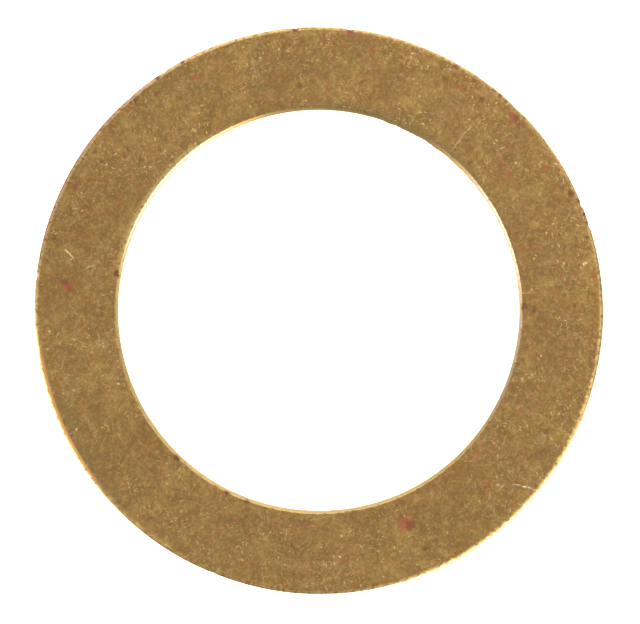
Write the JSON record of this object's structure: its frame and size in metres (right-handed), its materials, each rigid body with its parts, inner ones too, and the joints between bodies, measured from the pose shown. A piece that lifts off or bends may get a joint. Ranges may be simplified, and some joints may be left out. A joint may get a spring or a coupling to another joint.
{
  "type": "flat washer",
  "caption": "Narrow-rimmed flat ring of brass sheet with a plain round bore. It spreads a nut's or shoulder's load, or spaces parts on a shaft.",
  "frame": {"origin": "centre of the bore at the lower bearing face, the side whose edges are only broken", "axes": "+Z along the bore axis, from the lower face to the upper face with the rolled edges; X and Y lie in the lower face"},
  "size_m": [0.028, 0.028, 0.0015],
  "materials": {
    "brass": "tarnished, with fine handling scratches, small copper-red spots and brighter rubbed edges"
  },
  "bodies": {
    "root": {"washer": "brass"}
  },
  "joints": []
}
